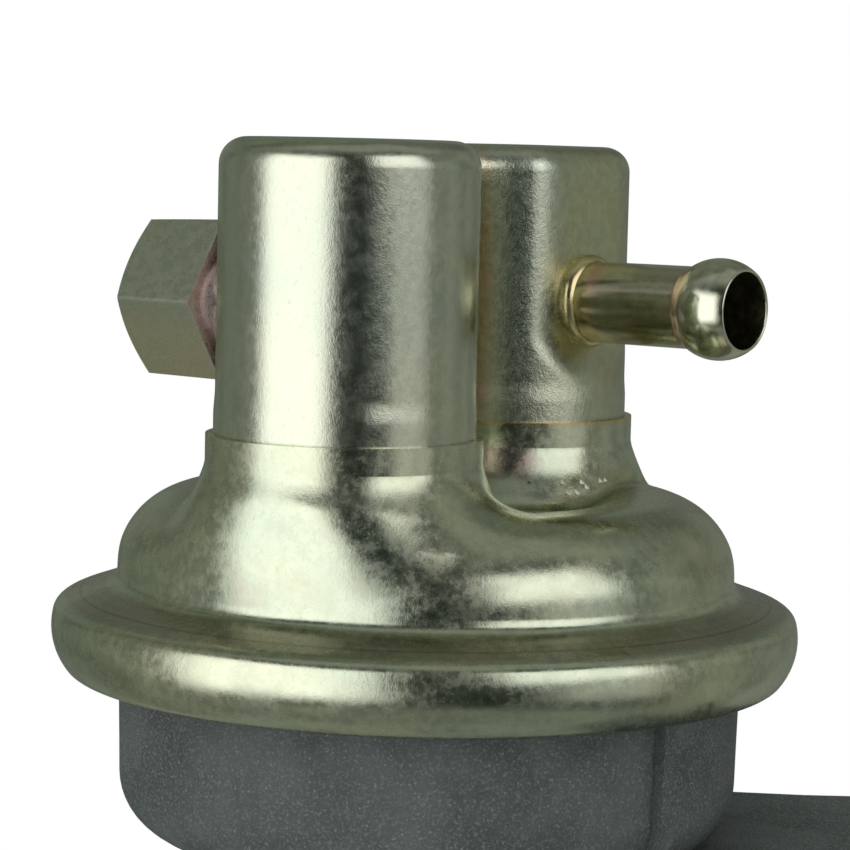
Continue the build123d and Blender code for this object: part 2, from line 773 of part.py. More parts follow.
def saddle():
    """The broad shoulder that carries the bell on the chamber and the flange."""
    back = Circle(SADDLE_W / 2)
    front = Pos(flange_x - FLANGE_T / 2, 0) * RectangleRounded(FLANGE_T, FLANGE_MID_W, SADDLE_EDGE_R)
    outline = make_hull(back.edges() + front.edges())
    height = BELL_BASE_Z - SADDLE_BOTTOM_Z
    return extrude(Pos(0, 0, SADDLE_BOTTOM_Z) * outline, height)


def gussets():
    """Flat webs from the chamber's sides to the flange ears."""
    low = FLANGE_Z - GUSSET_T / 2
    wall = CHAMBER_W / 2 - PAST
    inside = flange_x - PAST
    webs = []
    for side in (-1, 1):
        outline = Polyline(
            (GUSSET_START_X, side * wall),
            (inside, side * wall),
            (inside, side * (wall + GUSSET_REACH)),
            (flange_x - FLANGE_T, side * (wall + GUSSET_REACH)),
            close=True,
        )
        webs.append(extrude(Pos(0, 0, low) * make_face(outline), GUSSET_T))
    return webs


def chamber_cavity():
    end_x = CHAMBER_END_X + CHAMBER_WALL
    plan = chamber_plan(chamber_half, end_x, CHAMBER_END_CORNER_R - CHAMBER_WALL)
    return extrude(Pos(0, 0, chamber_floor_z) * plan, window_h)


def pin_boss(side):
    ends = sorted((side * boss_y, side * CHAMBER_W / 2))
    return cross_column(BOSS_R, *ends, PIVOT_X, PIVOT_Z)


def pin_holes():
    """The pin's bore across the chamber, wider outside each plug."""
    half = CHAMBER_W / 2 + PAST
    return [
        cross_column(PIN_R + PRESS_GAP, -half, half, PIVOT_X, PIVOT_Z),
        cross_column(PLUG_R + PRESS_GAP, -half, -plug_y, PIVOT_X, PIVOT_Z),
        cross_column(PLUG_R + PRESS_GAP, plug_y, half, PIVOT_X, PIVOT_Z),
    ]


def rod_passage():
    """The seal's seat in the bell's floor and the hole for the rod below it."""
    seat = column(SEAL_R, seal_bottom_z, BELL_FLOOR_Z + SEAL_BOSS_H + PAST)
    return [seat, column(ROD_HOLE_R, CHAMBER_CEIL_Z - PAST, seal_bottom_z + PAST)]


def bolt_hole(side):
    face = Plane(origin=(flange_x, side * FLANGE_HOLE_SPACING / 2, FLANGE_Z), z_dir=(1, 0, 0))
    return along(face, FLANGE_HOLE_R, -FLANGE_T - PAST, PAST)


def vent_hole():
    out = (cos(radians(VENT_DEG)), sin(radians(VENT_DEG)), 0)
    return along(Plane(origin=(0, 0, VENT_Z), z_dir=out), VENT_R, bell_cavity_r - PAST, bell_r + PAST)


def housing():
    body = bell_form(0) + [bell_rim(), flank_pad(), saddle(), chamber(), *gussets()]
    ahead = FLANGE_MID_W
    body = body - Pos(flange_x + ahead / 2, 0, FLANGE_Z) * Box(ahead, 2 * ahead, 2 * ahead)
    body = body + flange()
    body = body - bell_cavity() - chamber_cavity()
    body = body + [pin_boss(-1), pin_boss(1)]
    body = body + column(SEAL_BOSS_R, BELL_FLOOR_Z - PAST, BELL_FLOOR_Z + SEAL_BOSS_H)
    pocket_r = RETURN_COIL_R + RETURN_WIRE_R + RETURN_CLEAR
    pocket = column(pocket_r, CHAMBER_CEIL_Z - PAST, RETURN_POCKET_Z, RETURN_SEAT_X)
    body = body - [*rod_passage(), pocket, *pin_holes()]
    return body - [bolt_hole(-1), bolt_hole(1), vent_hole()]


# Rocker mechanism

def rocker_arm():
    tip_x = arm_tip_x - ARM_TIP_R
    tip_z = PIVOT_Z - ARM_DROP
    hub = cross_column(HUB_R, -HUB_W / 2, HUB_W / 2, PIVOT_X, PIVOT_Z)
    shank = side_plate(
        hull_of((PIVOT_X, PIVOT_Z, ARM_ROOT_R), (tip_x, tip_z, ARM_TIP_R)), -ARM_W / 2, ARM_W / 2
    )
    heel_z = PIVOT_Z + LINK_WEB_TOP + CONTACT_GAP + HEEL_R
    heel = side_plate(
        hull_of((HEEL_X, heel_z, HEEL_R), (PIVOT_X, heel_z, HEEL_R)), -HUB_W / 2, HUB_W / 2
    )
    pad_x = arm_tip_x - TIP_PAD_L / 2
    pad_z = tip_z - ARM_TIP_R - TIP_PAD_BELOW
    crown = Pos(pad_x, pad_z + TIP_PAD_CROWN_R) * Circle(TIP_PAD_CROWN_R)
    block = Pos(pad_x, pad_z + TIP_PAD_H / 2) * Rectangle(TIP_PAD_L, TIP_PAD_H)
    pad = side_plate(crown & block, -TIP_PAD_W / 2, TIP_PAD_W / 2)
    spring_r = RETURN_COIL_R + RETURN_WIRE_R + RETURN_SEAT_EDGE
    boss = column(spring_r, tip_z, RETURN_SEAT_Z, RETURN_SEAT_X)
    pip_r = RETURN_COIL_R - RETURN_WIRE_R - RETURN_PIP_CLEAR
    pip = column(pip_r, RETURN_SEAT_Z, RETURN_SEAT_Z + RETURN_PIP_H, RETURN_SEAT_X)
    arm = hub + shank + heel + pad + boss + pip
    return arm - cross_column(PIN_R + PIN_FIT, -HUB_W, HUB_W, PIVOT_X, PIVOT_Z)


def link_lever():
    neck = (LINK_NECK_X, PIVOT_Z + LINK_NECK_RISE, LINK_TIP_R + LINK_NECK_RISE / 2)
    cheek = hull_of((PIVOT_X, PIVOT_Z, LINK_EYE_R), neck) + hull_of(neck, (0, PIVOT_Z, LINK_TIP_R))
    body = side_plate(cheek, link_inner_y, link_outer_y) + side_plate(cheek, -link_outer_y, -link_inner_y)
    web_z = PIVOT_Z + LINK_WEB_TOP - LINK_WEB_H / 2
    web = Pos(HEEL_X, 0, web_z) * Box(LINK_WEB_W, 2 * link_inner_y + LINK_PLATE, LINK_WEB_H)
    body = body + web
    reach = link_outer_y + PAST
    return body - cross_column(PIN_R + PIN_FIT, -reach, reach, PIVOT_X, PIVOT_Z)


def pivot_pin():
    return cross_column(PIN_R, -PIN_LENGTH / 2, PIN_LENGTH / 2, PIVOT_X, PIVOT_Z)


def pair_along_pin(outer, hole, start, end):
    """Two rings on the pin's axis, one each side."""
    rings = []
    for side in (-1, 1):
        ends = sorted((side * start, side * end))
        ring = cross_column(outer, *ends, PIVOT_X, PIVOT_Z)
        if hole:
            ring = ring - cross_column(hole, ends[0] - PAST, ends[1] + PAST, PIVOT_X, PIVOT_Z)
        rings.append(ring)
    return Compound(children=rings)


def thrust_washers():
    return pair_along_pin(WASHER_R, PIN_R + PIN_FIT, washer_y, washer_y + WASHER_T)


def pin_plugs():
    return pair_along_pin(PLUG_R, 0, plug_y, plug_y + PLUG_T)


def return_spring():
    return coil(
        RETURN_COIL_R, RETURN_WIRE_R, RETURN_TURNS, RETURN_SEAT_Z, RETURN_POCKET_Z, RETURN_SEAT_X
    )


VALVES = {"inlet": (inlet_axis, -1), "outlet": (outlet_axis, 1)}
MAKERS = [
    cover, outlet_cup, inlet_cup, outlet_fitting, outlet_braze_ring, inlet_tube, inlet_braze_ring,
    diaphragm, diaphragm_plate_upper, diaphragm_plate_lower, pull_rod, rod_foot, diaphragm_spring,
    rod_seal, seal_retainer, housing, rocker_arm, link_lever, pivot_pin, thrust_washers, pin_plugs,
    return_spring,
]


def place(solid):
    """Move the origin from the diaphragm axis to the middle of the mounting face."""
    return Pos(-flange_x, 0, -FLANGE_Z) * solid


def build():
    pieces = {maker.__name__: maker() for maker in MAKERS}
    for name, (axis, opens) in VALVES.items():
        pieces[name + "_valve_seat"] = valve_seat(axis, opens)
        pieces[name + "_valve_disc"] = valve_disc(axis, opens)
        pieces[name + "_valve_spring"] = valve_spring(axis, opens)
        pieces[name + "_valve_stem"] = valve_stem(axis, opens)
    return {name: place(piece) for name, piece in pieces.items()}


for name, piece in build().items():
    export_step(piece, "parts/" + name + ".step")
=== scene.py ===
import math
from math import cos, radians, sin

import bmesh
import bpy
import numpy as np
from mathutils import Matrix, Vector


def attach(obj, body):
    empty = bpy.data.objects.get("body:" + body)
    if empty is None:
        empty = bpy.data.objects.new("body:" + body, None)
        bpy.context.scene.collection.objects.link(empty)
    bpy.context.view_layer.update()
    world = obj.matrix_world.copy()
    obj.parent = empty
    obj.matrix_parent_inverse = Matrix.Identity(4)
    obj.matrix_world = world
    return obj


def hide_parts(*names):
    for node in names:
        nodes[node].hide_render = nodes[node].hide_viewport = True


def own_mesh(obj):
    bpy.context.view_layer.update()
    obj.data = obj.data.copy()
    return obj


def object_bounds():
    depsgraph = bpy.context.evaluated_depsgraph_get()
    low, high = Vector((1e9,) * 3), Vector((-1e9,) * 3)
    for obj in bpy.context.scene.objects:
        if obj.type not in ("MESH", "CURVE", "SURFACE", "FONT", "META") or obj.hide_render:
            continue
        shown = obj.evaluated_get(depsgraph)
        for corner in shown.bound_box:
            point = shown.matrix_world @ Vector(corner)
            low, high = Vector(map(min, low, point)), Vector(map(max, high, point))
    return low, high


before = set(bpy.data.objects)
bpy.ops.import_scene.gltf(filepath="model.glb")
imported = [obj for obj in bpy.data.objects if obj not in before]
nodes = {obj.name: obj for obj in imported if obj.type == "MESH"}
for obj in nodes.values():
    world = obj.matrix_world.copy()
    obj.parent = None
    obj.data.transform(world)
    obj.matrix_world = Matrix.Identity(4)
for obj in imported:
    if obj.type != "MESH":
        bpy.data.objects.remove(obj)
cad_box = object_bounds()
scene = bpy.context.scene

# The CAD's own measures where this script needs them again: the diaphragm axis, the height of the
# rim's widest circle, and each cup's axis and the way its port looks
MM = 0.001
AXIS_X = -53.0 * MM
RIM_Z = 46.0 * MM
OUTLET_CUP = (-62.24 * MM, -16.81 * MM)
INLET_CUP = (-43.76 * MM, 16.81 * MM)
OUTLET_DEG = 138.5
INLET_DEG = -39.5

# The ports' height above the rim's widest circle, in millimetres, and their height in metres
PORT_UP = 37.45
PORT_Z = RIM_Z + PORT_UP * MM


# Camera, fitted to the whole photograph

LENS = 117.49
SENSOR = 36.0
CAMERA_AT = (-53.5 * MM, -318.68 * MM, 99.03 * MM)
PITCH_DOWN = 5.35
ROLL = 1.36


def make_camera():
    data = bpy.data.cameras.new("camera")
    data.lens = LENS
    data.sensor_width = SENSOR
    data.clip_start = 0.01
    data.clip_end = 20.0
    camera = bpy.data.objects.new("camera", data)
    scene.collection.objects.link(camera)
    tilt = Matrix.Rotation(radians(90 - PITCH_DOWN), 4, "X")
    roll = Matrix.Rotation(radians(ROLL), 4, "Z")
    camera.matrix_world = Matrix.Translation(CAMERA_AT) @ tilt @ roll
    scene.camera = camera


make_camera()


# Node helpers

class Nodes:
    """A short way to write node trees: every call adds its nodes and returns the output."""

    def __init__(self, tree):
        self.tree = tree
        self.tree.nodes.clear()

    def add(self, kind, **settings):
        node = self.tree.nodes.new(kind)
        for key, value in settings.items():
            setattr(node, key, value)
        return node

    def set(self, socket, value):
        if isinstance(value, bpy.types.NodeSocket):
            self.tree.links.new(value, socket)
        elif isinstance(value, (tuple, list)) and socket.type == "RGBA":
            socket.default_value = (*value, 1.0) if len(value) == 3 else value
        else:
            socket.default_value = value

    def place(self):
        return self.add("ShaderNodeTexCoord").outputs["Object"]

    def split(self, vector):
        node = self.add("ShaderNodeSeparateXYZ")
        self.set(node.inputs[0], vector)
        return node.outputs[0], node.outputs[1], node.outputs[2]

    def scaled(self, vector, scale):
        node = self.add("ShaderNodeMapping")
        self.set(node.inputs["Vector"], vector)
        self.set(node.inputs["Scale"], scale)
        return node.outputs[0]

    def noise(self, vector, scale, detail=3.0, rough=0.5, warp=0.0):
        node = self.add("ShaderNodeTexNoise")
        self.set(node.inputs["Vector"], vector)
        self.set(node.inputs["Scale"], scale)
        self.set(node.inputs["Detail"], detail)
        self.set(node.inputs["Roughness"], rough)
        self.set(node.inputs["Distortion"], warp)
        return node.outputs[0]

    def cells(self, vector, scale):
        node = self.add("ShaderNodeTexVoronoi")
        self.set(node.inputs["Vector"], vector)
        self.set(node.inputs["Scale"], scale)
        return node.outputs["Distance"]

    def math(self, kind, a, b=0.0):
        node = self.add("ShaderNodeMath", operation=kind)
        self.set(node.inputs[0], a)
        self.set(node.inputs[1], b)
        return node.outputs[0]

    def times(self, a, b):
        return self.math("MULTIPLY", a, b)

    def ramp(self, value, low, high, out_low=0.0, out_high=1.0):
        node = self.add("ShaderNodeMapRange", interpolation_type="SMOOTHSTEP")
        self.set(node.inputs["Value"], value)
        for name, number in (
            ("From Min", low),
            ("From Max", high),
            ("To Min", out_low),
            ("To Max", out_high),
        ):
            self.set(node.inputs[name], number)
        return node.outputs[0]

    def mix(self, factor, a, b, blend="MIX"):
        # Inputs 6 and 7 and output 2 are the mix node's colours
        node = self.add("ShaderNodeMix", data_type="RGBA", blend_type=blend)
        self.set(node.inputs["Factor"], factor)
        self.set(node.inputs[6], a)
        self.set(node.inputs[7], b)
        return node.outputs[2]

    def bump(self, height, distance, normal=None):
        node = self.add("ShaderNodeBump")
        self.set(node.inputs["Height"], height)
        self.set(node.inputs["Distance"], distance)
        self.set(node.inputs["Strength"], 1.0)
        if normal is not None:
            self.set(node.inputs["Normal"], normal)
        return node.outputs[0]

    def edge(self):
        """Light on convex edges, dark in corners."""
        return self.add("ShaderNodeNewGeometry").outputs["Pointiness"]

    def vector(self, kind, a, b):
        node = self.add("ShaderNodeVectorMath", operation=kind)
        self.set(node.inputs[0], a)
        self.set(node.inputs[1], b)
        return node.outputs["Value" if kind in ("DOT_PRODUCT", "LENGTH") else "Vector"]

    def length(self, vector):
        return self.vector("LENGTH", vector, (0.0, 0.0, 0.0))

    def off(self, place, centre):
        return self.vector("SUBTRACT", place, centre)

    def radial(self, place, centre):
        """Distance from an upright axis."""
        return self.length(self.vector("MULTIPLY", self.off(place, (*centre, 0.0)), (1.0, 1.0, 0.0)))

    def window(self, value, low, high, soft):
        """1 between low and high, falling to 0 over the soft width on each side."""
        rise = self.ramp(value, low - soft, low + soft)
        return self.times(rise, self.ramp(value, high - soft, high + soft, 1.0, 0.0))

    def blob(self, place, centre, radii):
        """1 in the middle of an ellipsoid, 0 from its surface on."""
        reach = self.length(self.vector("DIVIDE", self.off(place, centre), radii))
        return self.ramp(reach, 0.35, 1.0, 1.0, 0.0)

    def finish(self, **sockets):
        shader = self.add("ShaderNodeBsdfPrincipled")
        for name, value in sockets.items():
            self.set(shader.inputs[name.replace("_", " ")], value)
        output = self.add("ShaderNodeOutputMaterial")
        self.tree.links.new(shader.outputs[0], output.inputs["Surface"])


def material(name):
    made = bpy.data.materials.new(name)
    made.use_nodes = True
    return made, Nodes(made.node_tree)


def toned(colour, factor):
    return tuple(min(1.0, factor * c) for c in colour)


# Zinc plating, its stains, and the painted light on the outlet fitting

# Each stain is a soft ellipsoid: centre and radii in millimetres about the diaphragm axis, colour, strength
COVER_STAINS = (
    ((-2.0, 7.0, 20.0), (7.0, 9.0, 5.5), (0.62, 0.44, 0.36), 0.9),
    ((8.0, 1.5, 19.0), (6.0, 3.5, 3.0), (0.66, 0.46, 0.40), 0.7),
    ((3.0, -3.0, 17.0), (6.0, 7.0, 3.5), (0.40, 0.32, 0.19), 0.9),
    ((24.0, 8.0, 16.0), (9.0, 9.0, 3.0), (0.50, 0.46, 0.24), 0.6),
    ((30.0, -18.0, 12.0), (8.0, 8.0, 6.0), (0.50, 0.50, 0.31), 0.5),
)
CUP_STAINS = (
    ((5.2, 2.9, 38.0), (2.8, 5.0, 24.0), (0.62, 0.45, 0.28), 0.95),
    ((3.0, 3.0, 27.0), (5.0, 6.0, 3.5), (0.64, 0.44, 0.40), 0.9),
    ((18.4, 9.3, 37.5), (6.5, 6.5, 7.5), (0.60, 0.56, 0.26), 0.75),
    ((19.5, 9.5, 44.0), (10.0, 10.0, 26.0), (0.57, 0.585, 0.36), 0.95),
    ((20.0, 12.0, 29.0), (8.0, 8.0, 4.0), (0.52, 0.48, 0.32), 0.6),
)

# Bands of colour: from, to and soft edge, in metres from the diaphragm axis
FLANGE_BAND = (36.6 * MM, 41.4 * MM, 0.7 * MM)
# In height
LIP_BAND = (RIM_Z + 23.1 * MM, RIM_Z + 23.7 * MM, 0.15 * MM)
# Where the outlet fitting gets a painted highlight: a near-white line along the edge between its upper and
# lower flats
PAINTED_HIGHLIGHT_BAND = (PORT_Z - 0.12 * MM, PORT_Z + 0.12 * MM, 0.22 * MM)
# Along a port, from its cup's axis
TUBE_BAND = (14.0 * MM, 29.3 * MM, 0.7 * MM)
TUBE_ROOT_BAND = (10.0 * MM, 15.6 * MM, 1.2 * MM)
TUBE_ROSE_BAND = (14.6 * MM, 16.2 * MM, 0.9 * MM)
BEAD_RING_BAND = (26.6 * MM, 28.6 * MM, 0.8 * MM)
FITTING_NECK_END = 15.2 * MM
FITTING_NECK_FULL = 14.6 * MM


def zinc(name, dull, warm, pink, grain=1.0, rough=(0.15, 0.31), stains=None, blotch=1.0):
    """Yellow-green zinc on drawn steel: a soft sheen, broken up by fine flecks, dull patches and stains,
    and on the outlet fitting painted light.
    """
    made, n = material(name)
    here = n.place()
    broad = n.noise(here, 55.0, detail=3.0, rough=0.55, warp=0.4)
    patch = n.noise(here, 230.0, detail=4.0, rough=0.6, warp=0.5)
    fleck = n.noise(n.scaled(here, (1.0, 1.0, 0.6)), 2100.0, detail=4.0, rough=0.7)
    mottle = n.noise(here, 800.0, detail=5.0, rough=0.7)
    speck = n.noise(here, 6000.0, detail=2.0, rough=0.6)
    pits = n.cells(here, 420.0)
    colour = n.mix(n.ramp(broad, 0.35, 0.65), dull, warm)
    colour = n.mix(n.ramp(patch, 0.55, 0.85, 0.0, 0.45), colour, pink)
    # The stains function paints real stains; the outlet fitting's one also paints a highlight and lighter
    # lower flats, both painted light
    if stains:
        colour = stains(n, here, colour, patch)
    flecked = n.ramp(fleck, 0.26, 0.44, 0.2 * min(grain, 1.0), 0.0)
    colour = n.mix(flecked, colour, toned(dull, 0.35))
    colour = n.mix(n.ramp(pits, 0.02, 0.05, 0.35, 0.0), colour, toned(dull, 0.3))
    colour = n.mix(n.ramp(mottle, 0.38, 0.60, 0.22 * blotch, 0.0), colour, toned(dull, 0.45))
    broad_share = 0.45 * blotch
    patchy = n.math("ADD", n.times(mottle, 1.0 - broad_share), n.times(patch, broad_share))
    roughness = n.ramp(patchy, 0.38, 0.62, rough[0], rough[1])
    normal = n.bump(speck, 0.007 * MM * grain)
    normal = n.bump(fleck, 0.014 * MM * grain, normal)
    n.finish(Base_Color=colour, Metallic=1.0, Roughness=roughness, Normal=normal)
    return made


def spotted(n, here, colour, patch, stains):
    """A table's stains over a colour, their edges broken up by the patches of the plating."""
    for centre, radii, tint, strength in stains:
        at = (AXIS_X + centre[0] * MM, centre[1] * MM, RIM_Z + centre[2] * MM)
        mask = n.blob(here, at, tuple(r * MM for r in radii))
        broken = n.times(mask, n.ramp(patch, 0.25, 0.6, 0.45 * strength, strength))
        colour = n.mix(broken, colour, tint)
    return colour


def cover_stains(n, here, colour, patch):
    """Brown flange with faint drawn rings, a pink and gold neck behind, and brown between the necks."""
    reach = n.radial(here, (AXIS_X, 0.0))
    _, y, z = n.split(here)
    flange = n.window(reach, *FLANGE_BAND)
    flange = n.times(flange, n.ramp(z, RIM_Z, RIM_Z + 2 * MM))
    colour = n.mix(n.times(flange, 0.8), colour, (0.42, 0.385, 0.28))
    outward = n.add("ShaderNodeCombineXYZ")
    n.set(outward.inputs[0], reach)
    rings = n.noise(outward.outputs[0], 2300.0, detail=2.0, rough=0.6)
    ringed = n.times(flange, n.ramp(rings, 0.36, 0.50, 0.55, 0.0))
    colour = n.mix(ringed, colour, (0.15, 0.13, 0.10))
    colour = spotted(n, here, colour, patch, COVER_STAINS)
    lip = n.window(z, *LIP_BAND)
    lip = n.times(lip, n.ramp(y, 0.0, MM))
    return n.mix(n.times(lip, 0.8), colour, (0.66, 0.50, 0.22))


def cup_stains(n, here, colour, patch):
    """Pink and brown down the inner side of the inlet cup, and gold round its port."""
    return spotted(n, here, colour, patch, CUP_STAINS)


def along_port(n, here, cup, degrees):
    """Distance from a cup's axis along its port."""
    way = (cos(radians(degrees)), sin(radians(degrees)), 0.0)
    return n.vector("DOT_PRODUCT", n.off(here, (*cup, PORT_Z)), way)


def tube_stains(n, here, colour, patch):
    """Gold and pink at the brazed root, brown along the tube, and plain green zinc on the bead."""
    out = along_port(n, here, INLET_CUP, INLET_DEG)
    z = n.split(here)[2]
    colour = n.mix(n.window(out, *TUBE_BAND), colour, (0.56, 0.53, 0.38))
    gold = n.times(n.window(out, *TUBE_ROOT_BAND), n.ramp(patch, 0.3, 0.6, 0.55, 0.95))
    colour = n.mix(gold, colour, (0.72, 0.56, 0.26))
    rose = n.times(n.window(out, *TUBE_ROSE_BAND), n.ramp(z, PORT_Z, PORT_Z + 3 * MM))
    colour = n.mix(n.times(rose, 0.8), colour, (0.66, 0.42, 0.36))
    ring = n.times(n.window(out, *BEAD_RING_BAND), 0.75)
    return n.mix(ring, colour, (0.62, 0.43, 0.34))


def fitting_neck_and_painted_light(n, here, colour, patch):
    """Green upper flats; painted light on the lower flats, which are lighter and khaki; a painted highlight
    along the edge between them; and a pink neck.
    """
    out = along_port(n, here, OUTLET_CUP, OUTLET_DEG)
    z = n.split(here)[2]
    # Painted light: the flats below the port's axis are painted lighter and khaki
    lower = n.ramp(z, PORT_Z - 0.5 * MM, PORT_Z - 4 * MM, 0.0, 0.9)
    colour = n.mix(lower, colour, (0.66, 0.61, 0.41))
    # Painted highlight: a near-white line along the edge between the upper and lower flats
    edge = n.window(z, *PAINTED_HIGHLIGHT_BAND)
    colour = n.mix(n.times(edge, 0.8), colour, (0.95, 0.97, 0.86))
    neck = n.ramp(out, FITTING_NECK_END, FITTING_NECK_FULL)
    return n.mix(neck, colour, (0.68, 0.61, 0.585))


# Other materials

def plain_steel(name, colour, rough=0.32, grain=1.0):
    """Bare steel with wide darker patches, worn bright on its edges."""
    made, n = material(name)
    here = n.place()
    wide = n.noise(here, 260.0, detail=4.0, rough=0.6)
    fine = n.noise(here, 2400.0, detail=3.0, rough=0.6)
    shade = n.mix(n.ramp(wide, 0.35, 0.7), colour, toned(colour, 0.62))
    shade = n.mix(n.ramp(n.edge(), 0.52, 0.62, 0.0, 0.5), shade, toned(colour, 1.5))
    roughness = n.ramp(wide, 0.3, 0.7, rough - 0.07, rough + 0.1)
    n.finish(Base_Color=shade, Metallic=1.0, Roughness=roughness, Normal=n.bump(fine, 0.04 * MM * grain))
    return made


def casting(name):
    """Dark grey die casting with a fine pale speckle and a slightly rough skin."""
    made, n = material(name)
    here = n.place()
    pale = (0.26, 0.28, 0.28)
    wide = n.noise(here, 120.0, detail=4.0, rough=0.6, warp=0.3)
    fine = n.noise(here, 3200.0, detail=4.0, rough=0.75)
    spots = n.cells(here, 1300.0)
    colour = n.mix(n.ramp(wide, 0.3, 0.7), (0.034, 0.043, 0.041), (0.060, 0.071, 0.068))
    colour = n.mix(n.ramp(fine, 0.46, 0.70, 0.0, 0.8), colour, (0.13, 0.15, 0.14))
    colour = n.mix(n.ramp(spots, 0.05, 0.22, 0.35, 0.0), colour, pale)
    colour = n.mix(n.ramp(n.edge(), 0.52, 0.60, 0.0, 0.4), colour, pale)
    roughness = n.ramp(fine, 0.3, 0.7, 0.5, 0.68)
    n.finish(Base_Color=colour, Metallic=0.2, Roughness=roughness, Normal=n.bump(fine, 0.1 * MM))
    return made


def rubber(name, colour):
    made, n = material(name)
    here = n.place()
    fine = n.noise(here, 1800.0, detail=3.0, rough=0.6)
    wide = n.noise(here, 150.0, detail=3.0, rough=0.5)
    shade = n.mix(n.ramp(wide, 0.3, 0.7), colour, toned(colour, 1.8))
    roughness = n.ramp(fine, 0.3, 0.7, 0.55, 0.8)
    n.finish(Base_Color=shade, Roughness=roughness, Normal=n.bump(fine, 0.06 * MM))
    return made


def paint(made, *names):
    for name in names:
        slots = nodes[name].data.materials
        slots.clear()
        slots.append(made)


def shade_smooth(mesh):
    mesh.polygons.foreach_set("use_smooth", [True] * len(mesh.polygons))


zinc_cover = zinc(
    "zinc_cover",
    dull=(0.51, 0.565, 0.42),
    warm=(0.59, 0.61, 0.435),
    pink=(0.58, 0.47, 0.37),
    stains=cover_stains,
)
zinc_cup = zinc(
    "zinc_cup",
    dull=(0.525, 0.57, 0.45),
    warm=(0.585, 0.605, 0.46),
    pink=(0.55, 0.51, 0.41),
    grain=1.3,
    rough=(0.17, 0.25),
    stains=cup_stains,
    blotch=0.45,
)
zinc_cup_grainy = zinc(
    "zinc_cup_grainy",
    dull=(0.525, 0.57, 0.44),
    warm=(0.585, 0.60, 0.44),
    pink=(0.57, 0.50, 0.38),
    grain=4.0,
    rough=(0.16, 0.26),
    stains=cup_stains,
    blotch=0.7,
)
zinc_fitting = zinc(
    "zinc_fitting",
    dull=(0.53, 0.57, 0.44),
    warm=(0.57, 0.59, 0.44),
    pink=(0.58, 0.50, 0.39),
    grain=0.6,
    rough=(0.24, 0.34),
    stains=fitting_neck_and_painted_light,
    blotch=0.1,
)
zinc_tube = zinc(
    "zinc_tube",
    dull=(0.60, 0.62, 0.47),
    warm=(0.66, 0.66, 0.49),
    pink=(0.62, 0.52, 0.40),
    grain=0.5,
    rough=(0.14, 0.24),
    stains=tube_stains,
    blotch=0.4,
)
copper_braze = zinc(
    "copper_braze",
    dull=(0.54, 0.455, 0.42),
    warm=(0.60, 0.51, 0.475),
    pink=(0.58, 0.42, 0.37),
    grain=0.6,
)
gold_braze = zinc(
    "gold_braze",
    dull=(0.66, 0.56, 0.28),
    warm=(0.72, 0.64, 0.36),
    pink=(0.68, 0.46, 0.28),
    grain=0.6,
)
pressed_steel = plain_steel("pressed_steel", (0.42, 0.42, 0.40))
turned_steel = plain_steel("turned_steel", (0.50, 0.50, 0.49), rough=0.25, grain=0.5)
spring_steel = plain_steel("spring_steel", (0.30, 0.30, 0.30), rough=0.3, grain=0.5)
forged_steel = plain_steel("forged_steel", (0.25, 0.25, 0.25), rough=0.4, grain=1.6)

paint(zinc_cover, "cover")
paint(zinc_cup, "outlet_cup", "inlet_cup")
paint(zinc_fitting, "outlet_fitting")
paint(zinc_tube, "inlet_tube")
paint(copper_braze, "outlet_braze_ring")
paint(gold_braze, "inlet_braze_ring")
paint(casting("casting"), "housing")
paint(rubber("diaphragm_rubber", (0.020, 0.020, 0.020)), "diaphragm", "rod_seal")
paint(rubber("valve_disc", (0.085, 0.060, 0.045)), "inlet_valve_disc", "outlet_valve_disc")
paint(pressed_steel, "diaphragm_plate_upper", "diaphragm_plate_lower", "seal_retainer")
paint(pressed_steel, "link_lever", "thrust_washers")
paint(turned_steel, "pull_rod", "rod_foot", "inlet_valve_stem", "outlet_valve_stem", "pivot_pin")
paint(spring_steel, "diaphragm_spring", "return_spring", "inlet_valve_spring", "outlet_valve_spring")
paint(plain_steel("valve_plate", (0.45, 0.43, 0.33)), "inlet_valve_seat", "outlet_valve_seat")
paint(forged_steel, "rocker_arm")
paint(plain_steel("plug_steel", (0.40, 0.40, 0.36)), "pin_plugs")
for node in nodes.values():
    shade_smooth(node.data)


# Distance fields: forms given by a formula that is below 0 inside, in millimetres

FAR = 99.0
TINY = 1e-6
GRADIENT_REACH = 0.02


def eased(value, low, high):
    """0 below low, 1 above high, and a smooth rise between."""
    share = np.clip((value - low) / (high - low), 0.0, 1.0)
    return share * share * (3 - 2 * share)


def soft_min(a, b, k):
    """The smaller of two distances, with a blend k wide where they meet."""
    h = np.clip(0.5 + 0.5 * (b - a) / k, 0.0, 1.0)
    return b + (a - b) * h - k * h * (1.0 - h)


def soft_max(a, b, k):
    return -soft_min(-a, -b, k)


def rounded_corner(u, v, radius):
    """Distance to a corner of the radius given, from u and v past the arc's centre."""
    return np.hypot(np.maximum(u, 0), np.maximum(v, 0)) + np.minimum(np.maximum(u, v), 0) - radius


def gradient(field, points):
    found = []
    for axis in range(3):
        shift = np.zeros(3)
        shift[axis] = GRADIENT_REACH
        rise = field(*(points + shift).T) - field(*(points - shift).T)
        found.append(rise / (2 * GRADIENT_REACH))
    return np.stack(found, axis=1)


def directions(field, points):
    """The field's outward normals."""
    slope = gradient(field, points)
    return slope / np.maximum(np.linalg.norm(slope, axis=1, keepdims=True), TINY)


# Nets: quad meshes round the zero level of a field, one point to each grid cell that it passes through

# A voxel is less than the 1 mm sheet divided by the root of 3, so that no cell holds both its faces
VOXEL = 0.56
SETTLE_STEPS = 3
EVEN_ROUNDS = 3
RESETTLE_STEPS = 2
LONGEST_STEP = 0.2
LEAST_SLOPE = 0.25


def net(field, low, high):
    axes = [np.arange(a, b + VOXEL, VOXEL) for a, b in zip(low, high)]
    value = field(*np.meshgrid(*axes, indexing="ij"))
    places, index = cell_points(value)
    quads = cell_quads(value < 0, index)
    points = settled(field, np.array(low) + VOXEL * places, SETTLE_STEPS)
    for _ in range(EVEN_ROUNDS):
        points = settled(field, evened(points, quads), RESETTLE_STEPS)
    return points, quads


